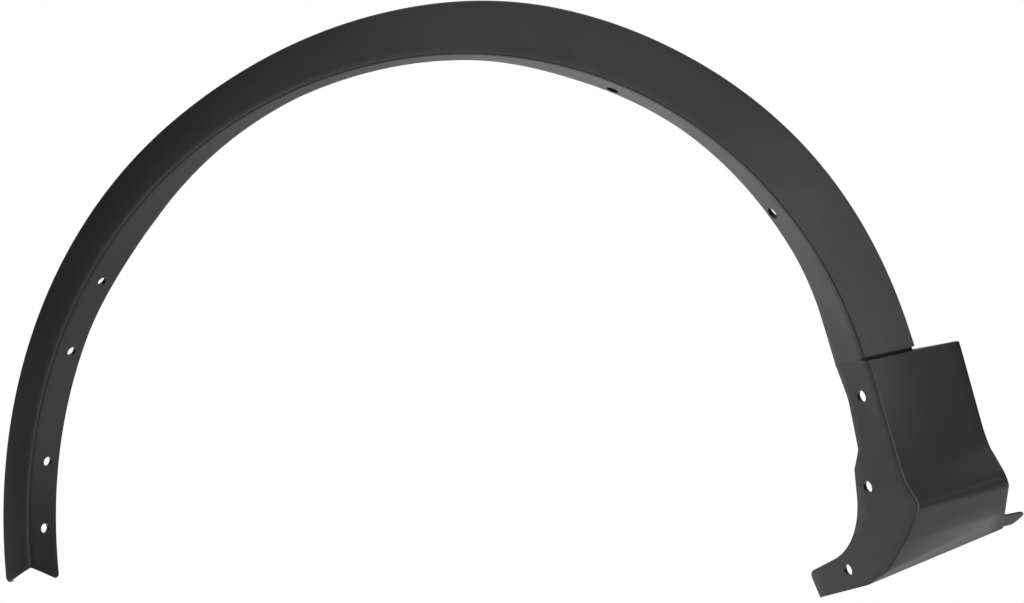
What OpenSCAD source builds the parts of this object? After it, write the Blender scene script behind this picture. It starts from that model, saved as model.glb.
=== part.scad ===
// Wheel arch trim of a left front wing, with the front end of the sill trim moulded on behind the wheel.
// One moulding in black grained plastic: an L section swept round the wheel opening. Its face lies
// over the wing and its flange turns in towards the wheel liner, where the screws go through.
// X runs towards the rear of the car, Y into the car and Z up. The origin is the middle of the
// crown screw hole, half way through the flange.

/* [Arch] */
// Radius of the crease over the crown
crown_r = 382; // [360:1:400]
// Radius of the crease down the rear leg
rear_r = 428; // [405:1:440]
// Radius of the crease down the front leg
front_r = 458; // [435:1:470]
// Direction where the rear leg meets the crown, in degrees from the rear
rear_break = 59; // [52:1:66]
// Direction where the crown meets the front leg
front_break = 98; // [90:1:106]
// Direction where the front leg ends
front_end = 186.1; // [184:0.1:190]

/* [Body plan] */
// Plan radius of the wing ahead of the wheel
front_plan_r = 780; // [720:10:900]
// Plan radius of the wing behind the wheel
rear_plan_r = 900; // [800:10:1200]
// Distance from the arch centre forward to where the wing starts to turn in
front_turn = 50; // [20:5:90]
// Distance from the arch centre rearward to where the wing starts to turn in
rear_turn = 210; // [180:5:240]

/* [Section] */
// Wall of the moulding
wall = 2.4; // [2.1:0.1:3]
// Width of the face over the crown and at the panel
face_rear = 53; // [49:0.5:55]
// Width of the face at its widest, behind the crown
face_wide = 55; // [53:0.5:58]
// Width of the face down the front leg
face_front = 39; // [35:0.5:42]
// How far the middle of the face stands out of flat
face_bow = 1.2; // [0.4:0.2:2]
// Depth of the flange at the crown
flange_crown = 24.5; // [22:0.5:27]
// Depth of the flange at the shoulder of the front leg
flange_knee = 39; // [37:0.5:41]
// Depth of the flange down the front leg
flange_front = 34; // [32:0.5:37]
// Depth of the flange along the rear of the crown
flange_mid = 40.5; // [39:0.5:43]
// Depth of the flange down the rear leg
flange_rear = 46.5; // [44:0.5:50]
// Lean of the flange out of square round the front and the crown
draft_front = 6; // [4:0.5:8]
// Lean of the flange out of square down the rear leg
draft_rear = 14; // [12:0.5:16]
// Outside radius of the crease
crease_r = 2.4; // [1.6:0.2:3.2]
// Outside radius of the outer edge
edge_r = 3; // [2:0.2:3.6]
// Depth of the lip that the outer edge turns in by
lip = 6.5; // [5.5:0.5:8]
// How much further the corners of the front end reach than the crease
end_drop = 15; // [10:1:18]
// Radius of the corners of the front end
end_r = 4.5; // [3.5:0.5:8]

/* [Sill panel] */
// Direction from the arch centre to the top front corner of the panel
panel_at = 17.6; // [16:0.2:19]
// Rise of the panel towards the rear
panel_tilt = 13; // [10:0.5:16]
// Turn of the plate that faces the wheel, from straight in
plate_turn = 28; // [25:0.5:31]
// Length of the panel along its top edge
panel_len = 96; // [88:0.5:104]
// How far the panel stands proud of the face
proud = 4; // [3:0.5:5]
// Width of the shadow groove over the panel
groove_w = 3.3; // [2.5:0.1:4.5]
// Depth of the shadow groove
groove_d = 4.4; // [2:0.2:5]
// Depth of the wall along the top edge of the panel
top_wall = 12; // [10:0.5:15]
// Thickness of the wall along the top edge
top_wall_t = 3; // [2.4:0.1:4]
// Depth of the lip along the rear edge of the panel
panel_lip = 12.5; // [11:0.5:15]
// Height of the flat upper part
upper_h = 108; // [100:1:114]
// Height of the nose under the top edge
nose_h = 144; // [138:1:150]
// Height of the underside, from the nose down to its lower edge at the wheel
under_h = 81.5; // [76:0.5:88]
// How far in the lower edge of the underside lies at the wheel
under_in = 66; // [58:1:74]
// How far the nose stands out at the wheel
nose_out = 25; // [20:1:30]
// How far the nose stands out at the rear edge
nose_out_rear = 33.5; // [28:0.5:39]
// How far the rear edge bows out at the nose
rear_bow = 4.5; // [2:0.5:7]
// Radius of the nose at the wheel
nose_r = 8; // [6:0.5:10]
// Radius of the nose at the rear edge
nose_r_rear = 16; // [10:0.5:18]
// Reach of the joining tab past the rear edge
tab_l = 19.5; // [14:0.5:22]

/* [Foot] */
// Height of the foot under the top edge
foot_h = 216; // [212:1:221]
// How far in the foot reaches
foot_in = 165; // [158:1:172]
// Width of the end of the foot
foot_w = 27; // [24:1:30]
// Radius of the sweep into the foot
foot_sweep = 90; // [80:1:100]

/* [Screw holes] */
// Bore of the four holes in the front leg
front_hole_d = 10; // [8:0.5:11]
// Bore of the other five holes
rear_hole_d = 12.5; // [10.5:0.5:13.5]
// Distance from the crease to the holes in the front leg
front_hole_in = 20; // [17:0.5:22]
// Distance from the crease to the holes over the rear half
rear_hole_in = 29.5; // [27:0.5:31]
// Height of the collar behind each screw hole
collar_h = 1.8; // [1:0.1:3]
// Width of the wall of a collar
collar_w = 2.6; // [1.5:0.1:3]

/* [Back] */
// Length of a clip tower along the face
tower_l = 20; // [16:1:24]
// Width of a clip tower across the face
tower_w = 13; // [11:0.5:15]
// Height of a clip tower behind the face
tower_h = 5.6; // [5.2:0.2:7]
// Width of the slot that takes a clip's neck
slot_w = 3.4; // [2.6:0.1:3.8]
// Thickness of the ribs
rib_t = 1.8; // [1.4:0.1:2.2]
// Leg of the corner gussets
gusset = 13; // [10:0.5:16]
// Diameter of the locating pins
pin_d = 5; // [4:0.5:6]
// Length of the locating pins
pin_l = 12; // [9:0.5:15]

/* [Hidden] */
plastic = "#2b2b2b";
// Degrees between two rings of the band, and the hair's breadth that closes a step.
step = 2.6;
hair = 0.2;
// Radius of the inside corners, and how far a rib or tower starts inside the wall.
inner_r = 0.8;
lap = 1.2;
// Radius of the top rear corner of the panel, and rim round the wall along its top edge.
top_r = 2.4;
top_rim = 1.5;
// Directions between which the face narrows, where it is widest and how far that swell runs.
face_fall = [78, 126];
swell_at = 42;
swell_run = 24;
// Directions between which the flange deepens or narrows, and its lean changes.
knee_rise = [113, 138];
knee_fall = [142, 156];
mid_rise = [89.5, 71.5];
rear_rise = [34, 21.5];
lean_rise = [60, 20];
// Degrees over which the band turns to the panel, and length of the sloped front end.
turn_run = 9;
drop_run = 45;
// Height of the swell of the rear edge, either way from the nose.
bow_run = 38;
// Directions of the holes in the flange, and places of those in the plate, [along, up].
front_holes = [148, 158, 172.75, 181.4];
rear_holes = [68, 40];
plate_holes = [[18.5, -34.5], [40, -124.5], [100.5, -211]];
// Directions of the parts behind the face, and places of the webs along the panel.
gussets = [24:12:180];
towers = [30:24:174];
pins = [42, 114, 162];
webs = [26, 52, 78];
web_span = [6:15];
// Room for a clip's head, walls of a tower, tip of a gusset and thickness of the tab.
head_h = 3.6;
tower_t = 1.7;
gusset_tip = 0.4;
tab_t = 2.4;

// Plain helpers.
function unit(v) = v / norm(v);
function lerp(a, b, f) = a + (b - a) * f;
function ease(f) = let (t = min(1, max(0, f))) t * t * (3 - 2 * t);
function ramp(f) = min(1, max(0, f));
function part(a, span) = (a - span[0]) / (span[1] - span[0]);
function toward(a) = [cos(a), sin(a)];

// The crease in side view: three arcs that run into each other without a corner.
rear_c = (crown_r - rear_r) * toward(rear_break);
front_c = (crown_r - front_r) * toward(front_break);
function crease_xz(a) =
    a < rear_break ? rear_c + rear_r * toward(a)
    : a > front_break ? front_c + front_r * toward(a)
    : crown_r * toward(a);

// The wing in plan: flat past the wheel centre and turned in at both ends.
function turn_in(x) = x > rear_turn ? asin((x - rear_turn) / rear_plan_r)
    : x < -front_turn ? -asin((-front_turn - x) / front_plan_r)
    : 0;
function plan_y(x) = x > rear_turn ? rear_plan_r * (1 - cos(turn_in(x)))
    : front_plan_r * (1 - cos(turn_in(x)));

// Face width, flange depth and flange lean round the arch.
function face_w(a) = lerp(face_rear, face_front, ease(part(a, face_fall)))
    + (face_wide - face_rear) * ease(1 - abs(a - swell_at) / swell_run);
function flange_w(a) = a > front_break
    ? lerp(flange_crown, flange_knee, ramp(part(a, knee_rise)))
        + (flange_front - flange_knee) * ease(part(a, knee_fall))
    : flange_crown + (flange_mid - flange_crown) * ease(part(a, mid_rise))
        + (flange_rear - flange_mid) * ease(part(a, rear_rise));
function draft(a) = lerp(draft_front, draft_rear, ease(part(a, lean_rise)));

// The panel's own axes: along the sill, up and in. Its datum is the crease at panel_at.
along = [cos(panel_tilt), 0, sin(panel_tilt)];
up = [-sin(panel_tilt), 0, cos(panel_tilt)];
in = [0, 1, 0];
plate_dir = cos(plate_turn) * in - sin(plate_turn) * along;
plate_n = cos(plate_turn) * along + sin(plate_turn) * in;
datum = let (c = crease_xz(panel_at)) [c.x, plan_y(c.x), c.y];
function on_plate(p) = datum + p.x * plate_dir + p.y * up;
function on_panel(u, w, v) = datum + u * along + w * in + v * up;

// A path whose corners are rounded. Each entry is [point, radius, arc steps, steps of the straight
// before it]; the first point starts the path.
function corner(p, q, s, r, n) =
    let (
        a = unit(p - q),
        b = unit(s - q),
        half = acos(a * b) / 2,
        c = q + unit(a + b) * r / sin(half),
        x = unit(q - c),
        y = unit(a - (a * x) * x)
    )
    [for (i = [0:n]) let (f = (90 - half) * (1 - 2 * i / n)) c + r * (cos(f) * x + sin(f) * y)];
function ends(path, i) = i == 0 || i == len(path) - 1 ? [path[i][0]]
    : corner(path[i - 1][0], path[i][0], path[i + 1][0], path[i][1], path[i][2]);
function rounded(path) =
    let (parts = [for (i = [0:len(path) - 1]) ends(path, i)])
    [
        path[0][0],
        for (i = [1:len(path) - 1])
            let (
                from = parts[i - 1][len(parts[i - 1]) - 1],
                to = parts[i][0],
                n = path[i][3]
            )
            each concat([for (j = [1:n]) lerp(from, to, j / n)], [for (j = [1:1:len(parts[i]) - 1]) parts[i][j]])
    ];

// Profile of the panel at the wheel and at the rear edge, as [in, up] points: the flat upper part,
// the flare, the nose and the underside that sweeps in below the sill.
wheel_profile = rounded([
    [[-proud, 0], 0, 0, 0],
    [[-proud - 9, -upper_h - 9], 45, 3, 3],
    [[-nose_out, -nose_h], nose_r, 5, 1],
    [[under_in - 62, -nose_h - under_h / 2 + 5], 60, 1, 2],
    [[under_in - 29, -nose_h - under_h + 14], 40, 1, 1],
    [[under_in, -nose_h - under_h], 0, 0, 3]
]);
rear_profile = rounded([
    [[12, -2.2], 0, 0, 0],
    [[-2.5, 10 - upper_h], 50, 3, 3],
    [[-nose_out_rear, 8 - nose_h], nose_r_rear, 5, 1],
    [[-6, -nose_h - 27], 60, 2, 2],
    [[10, -nose_h - 44.8], 0, 0, 4]
]);
// Inner edge of the plate and foot, as [along the plate, up] points.
neck_in = flange_rear + 8;
plate_edge = rounded([
    [[flange_rear, 0], 0, 0, 0],
    [[flange_rear - 7.5, -36], 60, 1, 2],
    [[flange_rear - 5, -87], 8, 1, 2],
    [[neck_in, -107], 8, 1, 1],
    [[neck_in + 15.5, 32 - foot_h], foot_sweep, 7, 1],
    [[foot_in, -foot_h], 7, 2, 1],
    [[foot_in - 8, -foot_h - foot_w], 0, 0, 1]
]);
panel_n = len(wheel_profile) - 1;

// One ring of the moulding, from the edge of the flange round the crease to the lip of the face.
// The first half of the points is the outside and the second half the inside, point for point.
// c, o and i are the crease, the outer edge and the inner edge, bc and bo point into the face at
// its two edges, and n points into the flange. tf is the thickness of the face and l its lip.
function section(c, o, i, bc, bo, n, tf, l, bow) =
    let (
        a = unit(o - c),
        p = unit(i - c),
        dot = bc * n,
        k = c + ((tf - dot * wall) * bc + (wall - dot * tf) * n) / (1 - dot * dot),
        m = o - wall * a + tf * bo,
        ki = i + wall * n
    )
    concat(
        [i, lerp(i, c + crease_r * p, 0.5)],
        [for (f = [0:30:90]) c + crease_r * ((1 - sin(f)) * p + (1 - cos(f)) * a)],
        [for (f = [1 / 3, 2 / 3]) lerp(c + crease_r * a, o - edge_r * a, f)
            - 4 * f * (1 - f) * bow * lerp(bc, bo, f)],
        [for (f = [0:45:90]) o - edge_r * (1 - sin(f)) * a + edge_r * (1 - cos(f)) * bo],
        [o + l * bo],
        [ki, lerp(ki, k + inner_r * p, 0.5)],
        [for (f = [0:30:90]) k + inner_r * ((1 - sin(f)) * p + (1 - cos(f)) * a)],
        [for (f = [1 / 3, 2 / 3]) lerp(k + inner_r * a, m - inner_r * a, f)
            - 4 * f * (1 - f) * bow * lerp(bc, bo, f)],
        [for (f = [0:45:90]) m - inner_r * (1 - sin(f)) * a + inner_r * (1 - cos(f)) * bo],
        [o - wall * a + l * bo]
    );

// Frame of the band at direction a: point on the crease, then across the face, along the crease,
// into the face and down the flange. Towards the panel it turns to the panel's own directions.
panel_top = unit(on_panel(panel_len, rear_profile[0].x, rear_profile[0].y) - on_plate([-proud, 0]));
function frame(a) =
    let (
        c = crease_xz(a),
        s = tan(turn_in(c.x)),
        t = unit([-sin(a), -s * sin(a), cos(a)]),
        w = ease((panel_at + turn_run - a) / turn_run),
        e = unit(lerp(unit([cos(a), s * cos(a), sin(a)]), panel_top, w)),
        b = unit(cross(t, e)),
        g0 = cos(draft(a)) * b - sin(draft(a)) * e,
        g = unit(lerp(g0, plate_dir, w))
    )
    [[c.x, plan_y(c.x), c.y], e, t, b, g, unit(cross(g, t))];

// Distance left to the front end, and what it does to the corners there.
function left(a) = (front_end - a) * PI / 180 * front_r;
function drop(a) = end_drop * ease(1 - left(a) / drop_run);
function cut_back(a) = let (s = left(a)) s < end_r ? end_r - sqrt(end_r * end_r - (end_r - s) * (end_r - s)) : 0;

function band_ring(a, sink = 0) =
    let (
        f = frame(a),
        c = f[0] + sink * f[4],
        o = c + (face_w(a) - cut_back(a)) * f[1] + drop(a) * f[2],
        i = f[0] + (flange_w(a) - cut_back(a)) * f[4] + drop(a) * f[2]
    )
    section(c, o, i, f[3], f[3], f[5], wall, lip, face_bow);

// Ring k of the panel, from the top edge down to the bottom one.
function wheel_point(k) = let (p = wheel_profile[k]) on_panel(-p.x * tan(plate_turn), p.x, p.y);
function rear_u(p) = panel_len + rear_bow * max(0, 1 - abs(p.y + nose_h) / bow_run);
function rear_point(k) = let (p = rear_profile[k]) on_panel(rear_u(p), p.x, p.y);
function tangent(pts, k) = unit(pts[min(k + 1, len(pts) - 1)] - pts[max(k - 1, 0)]);
function panel_ring(k, shift = 0, tf = wall, l = panel_lip, cut = 0) =
    let (
        c = wheel_point(k) - shift * up,
        o = rear_point(k) - shift * up - cut * along,
        i = on_plate(plate_edge[k]) - shift * up,
        across = unit(o - c),
        tc = tangent([for (j = [0:panel_n]) wheel_point(j)], k),
        to = tangent([for (j = [0:panel_n]) rear_point(j)], k)
    )
    section(c, o, i, unit(cross(across, tc)), unit(cross(across, to)), plate_n, tf, l, 0);

groove_a = groove_w / rear_r * 180 / PI;
hair_a = hair / rear_r * 180 / PI;
end_a = end_r / front_r * 180 / PI;
band_n = ceil((front_end - end_a - panel_at - groove_a) / step);
band_angles = concat(
    [for (i = [0:band_n]) lerp(panel_at + groove_a, front_end - end_a, i / band_n)],
    [for (f = [30, 60, 90]) front_end - end_a * (1 - sin(f))]
);

module skin() {
    rings = concat(
        [for (k = [panel_n:-1:1]) panel_ring(k)],
        [
            panel_ring(0, top_wall_t + hair),
            panel_ring(0, top_wall_t, top_wall - top_rim, top_wall),
            for (f = [30, 60, 90])
                panel_ring(0, top_r * (1 - sin(f)), top_wall - top_rim, top_wall, top_r * (1 - cos(f))),
            band_ring(panel_at + hair_a, groove_d),
            band_ring(panel_at + groove_a - hair_a, groove_d)
        ],
        [for (a = band_angles) band_ring(a)]
    );
    n = len(rings[0]);
    h = n / 2;
    last = len(rings) - 1;
    // Round one ring: up the outside, over the lip, back down the inside.
    round = concat([for (i = [0:h - 1]) i], [for (i = [h - 1:-1:0]) h + i]);
    sides = [
        for (k = [0:last - 1], j = [0:n - 1])
            let (
                a = k * n + round[j],
                b = k * n + round[(j + 1) % n],
                c = a + n,
                d = b + n
            )
            each [[a, d, b], [a, c, d]]
    ];
    caps = [
        for (j = [0:h - 2])
            each [
                [j, j + 1 + h, j + h],
                [j, j + 1, j + 1 + h],
                [last * n + j, last * n + j + 1 + h, last * n + j + 1],
                [last * n + j, last * n + j + h, last * n + j + 1 + h]
            ]
    ];
    polyhedron([for (r = rings) each r], concat(sides, caps));
}

// Places children with X, Y and Z along the three given directions.
module placed(o, x, y, z)
    multmatrix([
        [x.x, y.x, z.x, o.x],
        [x.y, y.y, z.y, o.y],
        [x.z, y.z, z.z, o.z],
        [0, 0, 0, 1]
    ])
        children();

// Children on the back of the face at direction a, half way across it: X along the crease,
// Y across the face and Z into the car. They start inside the wall, by the lap.
module behind_face(a) {
    f = frame(a);
    depth = wall - face_bow - lap;
    placed(f[0] + face_w(a) / 2 * f[1] + depth * f[3], cross(f[1], f[3]), f[1], f[3]) children();
}

// Tower with a slot that a panel clip slides into from one end.
module clip_tower() {
    h = tower_h + lap;
    difference() {
        translate([-tower_l / 2, -tower_w / 2, 0]) cube([tower_l, tower_w, h]);
        translate([-tower_l / 2 + tower_t, -tower_w / 2 + tower_t, h - tower_t - head_h])
            cube([tower_l, tower_w - 2 * tower_t, head_h]);
        translate([-slot_w, -slot_w / 2, h - tower_t - 1]) cube([tower_l, slot_w, tower_t + 2]);
    }
}

// Pin that finds its hole in the wing.
module locating_pin() {
    cylinder(h = pin_l, d = pin_d, $fn = 32);
    translate([0, 0, pin_l]) cylinder(h = pin_d / 2, d1 = pin_d, d2 = pin_d / 2, $fn = 32);
}

// Gusset in the corner behind the crease.
module corner_gusset(a) {
    f = frame(a);
    side = cross(f[3], f[1]);
    reach = gusset + wall;
    lean = tan(draft(a));
    placed(f[0] - rib_t / 2 * side, f[3], f[1], side)
        linear_extrude(rib_t)
            polygon([
                [lap, lap],
                [wall - face_bow - lap / 2, reach],
                [wall + gusset_tip, reach],
                [reach, wall + gusset_tip - reach * lean],
                [reach, wall - lap - reach * lean]
            ]);
}

// Web behind the nose of the panel, at distance u along the sill.
module nose_web(u) {
    outline = [
        for (k = web_span)
            let (
                p = wheel_profile[k],
                q = rear_profile[k],
                from = -p.x * tan(plate_turn)
            )
            lerp(p, q, (u - from) / (rear_u(q) - from))
    ];
    inward = [
        for (k = [0:len(outline) - 1])
            let (t = unit(outline[min(k + 1, len(outline) - 1)] - outline[max(k - 1, 0)]))
            outline[k] + (wall - lap) * [-t.y, t.x]
    ];
    placed(on_panel(u - rib_t / 2, 0, 0), in, up, along) linear_extrude(rib_t) polygon(inward);
}

// Tab at the lower rear corner that slides behind the next length of sill trim.
module joining_tab() {
    low = rear_profile[panel_n];
    rise = unit(rear_profile[panel_n - 3] - low);
    slope = rise.x * in + rise.y * up;
    tip = panel_len + tab_l;
    placed(on_panel(0, low.x, low.y), along, slope, cross(along, slope))
        translate([0, 0, -1.4 - tab_t])
            linear_extrude(tab_t)
                polygon([
                    [panel_len - 8, 0.8],
                    [tip - 11.5, 0.8],
                    [tip - 6, 5],
                    [tip - 1.5, 10],
                    [tip, 12.5],
                    [tip - 1, 14],
                    [tip - 4, 15],
                    [panel_len - 8, 16.5]
                ]);
}

// Middle of a hole, half way through the flange at direction a, or the plate at p, and its collar.
function in_flange(a, depth) =
    let (f = frame(a)) f[0] + depth * f[4] + (wall + collar_h) / 2 * f[5];
function in_plate(p) = on_plate(p) + (wall + collar_h) / 2 * plate_n;
crown_hole = in_flange(rear_holes[0], rear_hole_in);

// Children at a screw hole of diameter d with its middle at p: Z runs along n, to the back.
module at_hole(p, n, d) {
    $bore = d;
    translate(p) rotate([0, acos(n.z), atan2(n.y, n.x)]) children();
}

module at_screw_holes() {
    for (a = front_holes)
        at_hole(in_flange(a, front_hole_in), frame(a)[5], front_hole_d) children();
    for (a = rear_holes)
        at_hole(in_flange(a, rear_hole_in), frame(a)[5], rear_hole_d) children();
    for (p = plate_holes)
        at_hole(in_plate(p), plate_n, rear_hole_d) children();
}

// Collar that thickens the rim of a hole on the back. It starts inside the wall, by the lap.
module screw_collar()
    translate([0, 0, (wall - collar_h) / 2 - lap])
        cylinder(h = collar_h + lap, d = $bore + 2 * collar_w, $fn = 48);

module screw_bore()
    cylinder(h = 2 * (wall + collar_h), d = $bore, center = true, $fn = 48);

module arch_trim()
    color(plastic)
        translate(-crown_hole)
            difference() {
                union() {
                    skin();
                    for (a = towers) behind_face(a) clip_tower();
                    for (a = pins) behind_face(a) locating_pin();
                    for (a = gussets) corner_gusset(a);
                    for (u = webs) nose_web(u);
                    joining_tab();
                    at_screw_holes() screw_collar();
                }
                at_screw_holes() screw_bore();
            }

arch_trim();
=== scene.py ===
"""Looks of a wheel arch trim: one moulding in black grained polypropylene, with the front end of the
sill trim moulded on behind the wheel. X runs to the rear of the car, Y into it and Z up."""

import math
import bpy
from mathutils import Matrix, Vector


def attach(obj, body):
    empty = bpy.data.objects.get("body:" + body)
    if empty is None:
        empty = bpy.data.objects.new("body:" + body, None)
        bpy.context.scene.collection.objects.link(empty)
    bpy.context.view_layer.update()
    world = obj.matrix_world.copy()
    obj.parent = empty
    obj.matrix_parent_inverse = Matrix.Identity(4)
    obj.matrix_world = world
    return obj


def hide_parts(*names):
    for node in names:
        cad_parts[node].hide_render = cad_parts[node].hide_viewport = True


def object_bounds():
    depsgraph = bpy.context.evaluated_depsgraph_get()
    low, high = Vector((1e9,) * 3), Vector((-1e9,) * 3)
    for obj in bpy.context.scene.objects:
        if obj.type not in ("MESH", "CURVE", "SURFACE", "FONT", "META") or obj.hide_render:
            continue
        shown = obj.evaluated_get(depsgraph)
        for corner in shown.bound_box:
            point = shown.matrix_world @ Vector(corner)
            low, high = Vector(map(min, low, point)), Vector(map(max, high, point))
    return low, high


bl_info = {
    "name": "Wheel Arch Trim",
    "version": (1, 0, 0),
    "blender": (4, 5, 0),
    "location": "View3D > Sidebar > Arch Trim",
    "description": "Builds the moulding of a wheel arch trim, what stands on its back, and its stage",
    "category": "Object",
}

import bpy
import numpy as np
from bpy.props import FloatProperty, FloatVectorProperty, IntProperty, PointerProperty
from mathutils import Vector
from mathutils.kdtree import KDTree

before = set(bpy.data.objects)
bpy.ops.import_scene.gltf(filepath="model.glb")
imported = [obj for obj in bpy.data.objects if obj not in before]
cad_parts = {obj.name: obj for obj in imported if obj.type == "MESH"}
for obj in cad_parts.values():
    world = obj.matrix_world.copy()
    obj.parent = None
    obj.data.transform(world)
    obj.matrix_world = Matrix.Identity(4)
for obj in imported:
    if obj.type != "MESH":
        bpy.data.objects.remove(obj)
CAD_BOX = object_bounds()

BODY = "root"
NODE = "arch_trim"
MM = 0.001


def linear(code):
    """A colour given as an sRGB hex value, as linear RGBA."""
    parts = [int(code[i : i + 2], 16) / 255 for i in (1, 3, 5)]
    return [c / 12.92 if c <= 0.04045 else ((c + 0.055) / 1.055) ** 2.4 for c in parts] + [1.0]


def add(tree, kind, inputs=None, **settings):
    """Adds a node, with its settings and each input set to a value or linked, and gives its outputs."""
    node = tree.nodes.new(kind)
    for key, value in settings.items():
        setattr(node, key, value)
    for key, value in (inputs or {}).items():
        for source in value if isinstance(value, list) else [value]:
            if isinstance(source, bpy.types.NodeSocket):
                tree.links.new(source, node.inputs[key])
            else:
                node.inputs[key].default_value = source
    return node.outputs


def new_object(name, verts, faces, materials, indices=None):
    """A mesh object at the origin, its place in its mesh."""
    mesh = bpy.data.meshes.new(name)
    mesh.from_pydata([tuple(v) for v in verts], [], faces)
    for material in materials:
        mesh.materials.append(material)
    if indices is not None:
        mesh.polygons.foreach_set("material_index", indices)
    mesh.validate()
    mesh.update()
    made = bpy.data.objects.new(name, mesh)
    bpy.context.scene.collection.objects.link(made)
    return made


def settle(piece):
    """Turns a piece with modifiers into a plain mesh."""
    graph = bpy.context.evaluated_depsgraph_get()
    plain = bpy.data.meshes.new_from_object(piece.evaluated_get(graph))
    old = piece.data
    piece.modifiers.clear()
    piece.data = plain
    plain.name = piece.name
    bpy.data.meshes.remove(old)
    return piece


def soften(piece, degrees=34):
    """Smooth shading with the real corners kept sharp."""
    piece.data.shade_smooth()
    piece.data.set_sharp_from_angle(angle=math.radians(degrees))


def put_on(piece):
    """Says what a finished piece rides on."""
    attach(piece, BODY)


def add_nodes(piece, tree, values):
    """Adds a Geometry Nodes modifier and sets its inputs by name, with the finish of the back."""
    modifier = piece.modifiers.new(tree.name, "NODES")
    modifier.node_group = tree
    values = {**values, "Material": finish(SMOOTH)}
    for item in tree.interface.items_tree:
        if item.item_type == "SOCKET" and item.in_out == "INPUT" and item.name in values:
            modifier[item.identifier] = values[item.name]


def new_tree(name, sockets):
    """A Geometry Nodes tree with geometry in and out, and an input for each named size and the finish."""
    tree = bpy.data.node_groups.new(name, "GeometryNodeTree")
    for way in ("OUTPUT", "INPUT"):
        tree.interface.new_socket("Geometry", in_out=way, socket_type="NodeSocketGeometry")
    for label, kind in {**sockets, "Material": "Material"}.items():
        tree.interface.new_socket(label, in_out="INPUT", socket_type=f"NodeSocket{kind}")
    return tree, add(tree, "NodeGroupInput")


def length(label, about, mm):
    return FloatProperty(name=label, description=about, default=mm * MM, unit="LENGTH", precision=5)


def turn(label, about, degrees):
    return FloatProperty(name=label, description=about, default=math.radians(degrees), subtype="ANGLE")


class ArchSizes(bpy.types.PropertyGroup):
    """Sizes of the moulding."""

    crown_r: length("Crown radius", "Radius of the crease over the crown", 382)
    rear_r: length("Rear radius", "Radius of the crease down the rear leg", 428)
    front_r: length("Front radius", "Radius of the crease down the front leg", 458)
    rear_break: turn("Rear break", "Direction where the rear leg meets the crown", 59)
    front_break: turn("Front break", "Direction where the crown meets the front leg", 98)
    front_end: turn("Front end", "Direction where the front leg ends", 186.1)
    front_plan_r: length("Front plan radius", "Plan radius of the wing ahead of the wheel", 780)
    rear_plan_r: length("Rear plan radius", "Plan radius of the wing behind the wheel", 900)
    front_turn: length("Front turn", "Where the wing starts to turn in ahead of the wheel", 50)
    rear_turn: length("Rear turn", "Where the wing starts to turn in behind the wheel", 210)
    wall: length("Wall", "Wall of the moulding", 2.4)
    face_rear: length("Face, rear", "Width of the face over the crown and at the panel", 53)
    face_wide: length("Face, widest", "Width of the face behind the crown", 55)
    face_front: length("Face, front", "Width of the face down the front leg", 39)
    face_bow: length("Face bow", "How far the middle of the face stands out of flat", 1.2)
    flange_crown: length("Flange, crown", "Depth of the flange at the crown", 24.5)
    flange_knee: length("Flange, shoulder", "Depth of the flange at the front shoulder", 39)
    flange_front: length("Flange, front", "Depth of the flange down the front leg", 34)
    flange_mid: length("Flange, behind the crown", "Depth of the flange behind the crown", 40.5)
    flange_rear: length("Flange, rear", "Depth of the flange down the rear leg", 46.5)
    draft_front: turn("Lean, front", "Lean of the flange round the front and the crown", 6)
    draft_rear: turn("Lean, rear", "Lean of the flange down the rear leg", 14)
    crease_r: length("Crease radius", "Outside radius of the crease", 2.4)
    edge_r: length("Edge radius", "Outside radius of the outer edge", 3)
    lip: length("Lip", "Depth of the lip of the outer edge", 6.5)
    end_drop: length("End drop", "How much further the corners of the front end reach", 15)
    end_r: length("End radius", "Radius of the corners of the front end", 4.5)
    panel_at: turn("Panel at", "Direction of the top front corner of the panel", 17.6)
    panel_tilt: turn("Panel tilt", "Rise of the panel towards the rear", 13)
    plate_turn: turn("Plate turn", "Turn of the plate that faces the wheel", 28)
    panel_len: length("Panel length", "Length of the panel along its top edge", 96)
    proud: length("Panel proud", "How far the panel stands proud of the face", 4)
    groove_w: length("Groove width", "Width of the shadow groove over the panel", 3.3)
    groove_d: length("Groove depth", "Depth of the shadow groove", 4.4)
    top_wall: length("Top wall", "Depth of the wall along the top edge of the panel", 12)
    top_wall_t: length("Top wall thickness", "Thickness of the wall along the top edge", 3)
    panel_lip: length("Panel lip", "Depth of the lip along the rear edge of the panel", 12.5)
    upper_h: length("Upper height", "Height of the flat upper part of the panel", 108)
    nose_h: length("Nose height", "Height of the nose under the top edge", 144)
    under_h: length("Underside height", "Height of the underside at the wheel", 81.5)
    under_in: length("Underside depth", "How far in the underside runs at the wheel", 66)
    nose_out: length("Nose at the wheel", "How far the nose stands out at the wheel", 25)
    nose_out_rear: length("Nose at the rear", "How far the nose stands out at the rear", 33.5)
    rear_bow: length("Rear bow", "How far the rear edge bows out at the nose", 4.5)
    nose_r: length("Nose radius at the wheel", "Radius of the nose at the wheel", 8)
    nose_r_rear: length("Nose radius at the rear", "Radius of the nose at the rear edge", 16)
    tab_l: length("Tab length", "Reach of the joining tab past the rear edge", 19.5)
    foot_h: length("Foot height", "Height of the foot under the top edge", 216)
    foot_in: length("Foot reach", "How far in the foot reaches", 165)
    foot_w: length("Foot width", "Width of the end of the foot", 27)
    foot_sweep: length("Foot sweep", "Radius of the sweep into the foot", 90)
    free_r: length("Free edge radius", "Radius that softens the edges of the wall", 0.6)
    brow_r: length("Brow radius", "Radius that softens the top edge of the panel", 1.2)
    fine: IntProperty(
        name="Fineness", description="Rings for each one of the solid model", default=4, min=1
    )


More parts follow.
